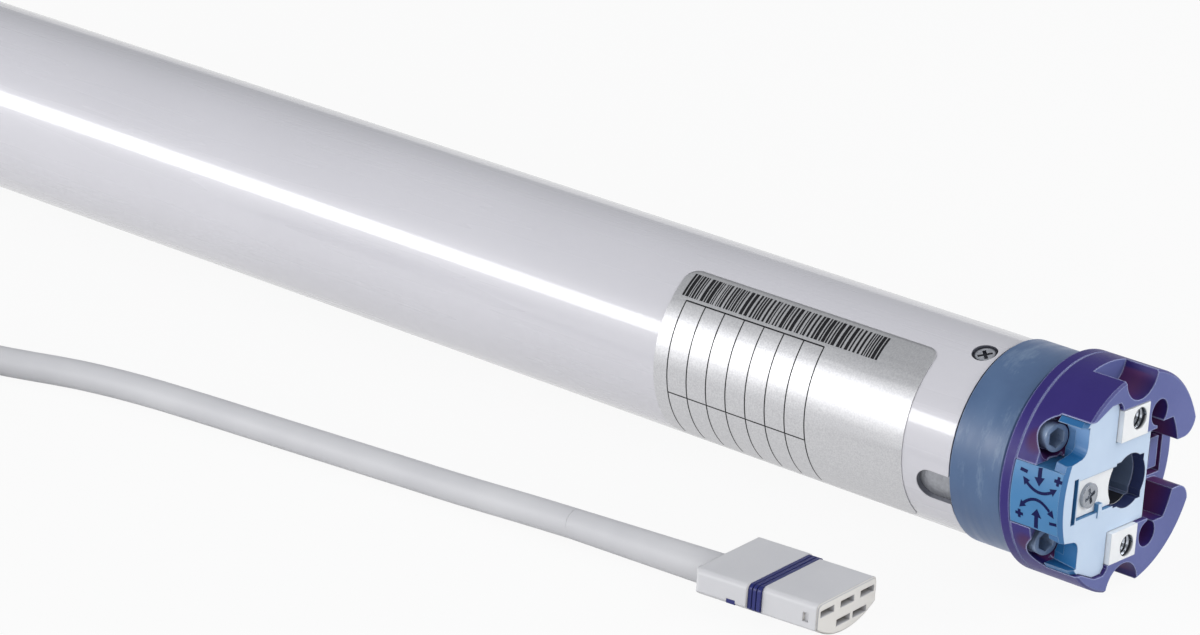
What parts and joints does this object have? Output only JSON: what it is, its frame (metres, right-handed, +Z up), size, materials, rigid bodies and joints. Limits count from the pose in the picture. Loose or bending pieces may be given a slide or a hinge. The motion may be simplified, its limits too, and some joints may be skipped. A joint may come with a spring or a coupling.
{
  "type": "tubular roller blind motor",
  "caption": "Round tubular motor for a roller blind, with a bracket head, a turning limit ring, setting screws and a pluggable mains lead.",
  "frame": {"origin": "middle of the bracket face, between the two bracket threads, on the tube's axis", "axes": "+X out of the head along the tube's axis, +Z up through the upper bracket thread, the plug pocket on +Y"},
  "size_m": [0.4534, 0.2417, 0.0498],
  "materials": {
    "tube_metal": "lacquered, glossy",
    "label_film": "silver film, matt",
    "screw_steel": "zinc plated",
    "head_plastic": "satin moulding",
    "insert_plastic": "satin moulding",
    "frame_metal": "bright nickel plated die casting",
    "adjuster_plastic": "pale moulding",
    "ring_plastic": "matt moulding",
    "retainer_metal": "cast, raw",
    "gear_plastic": "acetal",
    "spindle_steel": "rolled thread",
    "nut_brass": "machined",
    "switch_plastic": "moulded",
    "contact_brass": "plated",
    "capacitor_plastic": "film capacitor case",
    "shield_metal": "die cast",
    "bearing_steel": "ground",
    "core_steel": "laminated",
    "winding_copper": "enamelled wire",
    "brake_lining": "friction lining",
    "brake_steel": "turned",
    "gear_steel": "sintered",
    "bush_bronze": "sintered",
    "plug_plastic": "fine texture",
    "seal_rubber": "moulded",
    "cable_sheath": "matt sheath",
    "tie_plastic": "moulded strap",
    "core_insulation": "four colours: brown, black, blue, green-yellow",
    "ferrule_tin": "tinned"
  },
  "bodies": {
    "motor_body": {"motor_tube": "tube_metal", "rating_label": "label_film", "tube_screws": "screw_steel", "head_housing": "head_plastic", "head_insert": "insert_plastic", "mount_frame": "frame_metal", "frame_screw": "screw_steel", "ring_retainer": "retainer_metal", "switch_chassis": "gear_plastic", "microswitch_upper": "switch_plastic", "microswitch_lower": "switch_plastic", "plug_socket": "switch_plastic", "socket_pins": "contact_brass", "capacitor": "capacitor_plastic", "capacitor_sleeve": "switch_plastic", "front_shield": "shield_metal", "rear_shield": "shield_metal", "shaft_bearings": "bearing_steel", "stator_core": "core_steel", "stator_windings": "winding_copper", "brake_magnet": "brake_steel", "brake_spring": "bearing_steel", "ring_gear": "gear_steel", "gearbox_flange": "retainer_metal", "output_bush": "bush_bronze", "tube_end_cap": "switch_plastic", "plug_body": "plug_plastic", "plug_seal": "seal_rubber", "plug_contacts": "contact_brass", "cable_boot": "cable_sheath", "cable": "cable_sheath", "cable_coil": "cable_sheath", "cable_tie": "tie_plastic", "core_wires": "core_insulation", "core_ferrules": "ferrule_tin"},
    "rotor": {"rotor_core": "core_steel", "rotor_shaft": "bearing_steel", "brake_disc": "brake_lining", "motor_pinion": "bearing_steel"},
    "carrier_one": {"carrier_one": "gear_steel"},
    "carrier_two": {"carrier_two": "gear_steel", "output_shaft": "bearing_steel", "retaining_clip": "bearing_steel"},
    "limit_ring": {"limit_ring": "ring_plastic"},
    "limit_pinion": {"limit_pinion": "gear_plastic"},
    "brake_armature": {"brake_armature": "brake_steel"},
    "planet_one_a": {"planet_one_a": "gear_steel"},
    "planet_one_b": {"planet_one_b": "gear_steel"},
    "planet_one_c": {"planet_one_c": "gear_steel"},
    "planet_two_a": {"planet_two_a": "gear_steel"},
    "planet_two_b": {"planet_two_b": "gear_steel"},
    "planet_two_c": {"planet_two_c": "gear_steel"},
    "limit_spindle_upper": {"limit_spindle_upper": "spindle_steel"},
    "limit_nut_upper": {"limit_nut_upper": "nut_brass"},
    "limit_adjuster_upper": {"limit_adjuster_upper": "adjuster_plastic"},
    "limit_spindle_lower": {"limit_spindle_lower": "spindle_steel"},
    "limit_nut_lower": {"limit_nut_lower": "nut_brass"},
    "limit_adjuster_lower": {"limit_adjuster_lower": "adjuster_plastic"}
  },
  "joints": [
    {"name": "rotor_spin", "type": "hinge", "parent": "motor_body", "child": "rotor", "pos_m": [0, 0, 0], "axis": [1, 0, 0], "continuous": true},
    {"name": "carrier_one_spin", "type": "hinge", "parent": "motor_body", "child": "carrier_one", "pos_m": [0, 0, 0], "axis": [1, 0, 0], "continuous": true},
    {"name": "output_spin", "type": "hinge", "parent": "motor_body", "child": "carrier_two", "pos_m": [0, 0, 0], "axis": [1, 0, 0], "continuous": true},
    {"name": "planet_one_a_spin", "type": "hinge", "parent": "carrier_one", "child": "planet_one_a", "pos_m": [0, 0.00967, 0], "axis": [1, 0, 0], "continuous": true},
    {"name": "planet_one_b_spin", "type": "hinge", "parent": "carrier_one", "child": "planet_one_b", "pos_m": [0, -0.00484, 0.00838], "axis": [1, 0, 0], "continuous": true},
    {"name": "planet_one_c_spin", "type": "hinge", "parent": "carrier_one", "child": "planet_one_c", "pos_m": [0, -0.00484, -0.00838], "axis": [1, 0, 0], "continuous": true},
    {"name": "planet_two_a_spin", "type": "hinge", "parent": "carrier_two", "child": "planet_two_a", "pos_m": [0, 0.00967, 0], "axis": [1, 0, 0], "continuous": true},
    {"name": "planet_two_b_spin", "type": "hinge", "parent": "carrier_two", "child": "planet_two_b", "pos_m": [0, -0.00484, 0.00838], "axis": [1, 0, 0], "continuous": true},
    {"name": "planet_two_c_spin", "type": "hinge", "parent": "carrier_two", "child": "planet_two_c", "pos_m": [0, -0.00484, -0.00838], "axis": [1, 0, 0], "continuous": true},
    {"name": "limit_ring_spin", "type": "hinge", "parent": "motor_body", "child": "limit_ring", "pos_m": [0, 0, 0], "axis": [1, 0, 0], "range_deg": [-6120, 6120]},
    {"name": "limit_pinion_spin", "type": "hinge", "parent": "motor_body", "child": "limit_pinion", "pos_m": [0, 0.0128, 0], "axis": [1, 0, 0], "range_deg": [-18400, 18400]},
    {"name": "limit_spindle_upper_spin", "type": "hinge", "parent": "motor_body", "child": "limit_spindle_upper", "pos_m": [0, 0.0058, 0.00657], "axis": [1, 0, 0], "range_deg": [-12280, 12280]},
    {"name": "limit_nut_upper_slide", "type": "slide", "parent": "motor_body", "child": "limit_nut_upper", "axis": [1, 0, 0], "range_m": [-0.0171, 0.0171]},
    {"name": "limit_spindle_lower_spin", "type": "hinge", "parent": "motor_body", "child": "limit_spindle_lower", "pos_m": [0, 0.0058, -0.00657], "axis": [1, 0, 0], "range_deg": [-12280, 12280]},
    {"name": "limit_nut_lower_slide", "type": "slide", "parent": "motor_body", "child": "limit_nut_lower", "axis": [1, 0, 0], "range_m": [-0.0171, 0.0171]},
    {"name": "adjuster_upper_spin", "type": "hinge", "parent": "motor_body", "child": "limit_adjuster_upper", "pos_m": [-0.009, -0.0175, 0.0118], "axis": [0.9703, -0.2419, 0], "continuous": true},
    {"name": "adjuster_lower_spin", "type": "hinge", "parent": "motor_body", "child": "limit_adjuster_lower", "pos_m": [-0.009, -0.0175, -0.0118], "axis": [0.9703, -0.2419, 0], "continuous": true},
    {"name": "brake_release", "type": "slide", "parent": "motor_body", "child": "brake_armature", "axis": [-1, 0, 0], "range_m": [0, 0.0005], "stiffness_N_per_m": 4000, "deforming": ["brake_spring"]}
  ],
  "couplings": [
    {"joint": "carrier_one_spin", "follows": "rotor_spin", "ratio": 0.11111},
    {"joint": "output_spin", "follows": "rotor_spin", "ratio": 0.012346},
    {"joint": "planet_one_a_spin", "follows": "rotor_spin", "ratio": -0.25397},
    {"joint": "planet_one_b_spin", "follows": "rotor_spin", "ratio": -0.25397},
    {"joint": "planet_one_c_spin", "follows": "rotor_spin", "ratio": -0.25397},
    {"joint": "planet_two_a_spin", "follows": "rotor_spin", "ratio": -0.028219},
    {"joint": "planet_two_b_spin", "follows": "rotor_spin", "ratio": -0.028219},
    {"joint": "planet_two_c_spin", "follows": "rotor_spin", "ratio": -0.028219},
    {"joint": "limit_pinion_spin", "follows": "limit_ring_spin", "ratio": 3},
    {"joint": "limit_spindle_upper_spin", "follows": "limit_ring_spin", "ratio": -2},
    {"joint": "limit_nut_upper_slide", "follows": "limit_ring_spin", "m_per_rad": 0.00015915},
    {"joint": "limit_spindle_lower_spin", "follows": "limit_ring_spin", "ratio": -2},
    {"joint": "limit_nut_lower_slide", "follows": "limit_ring_spin", "m_per_rad": 0.00015915}
  ]
}
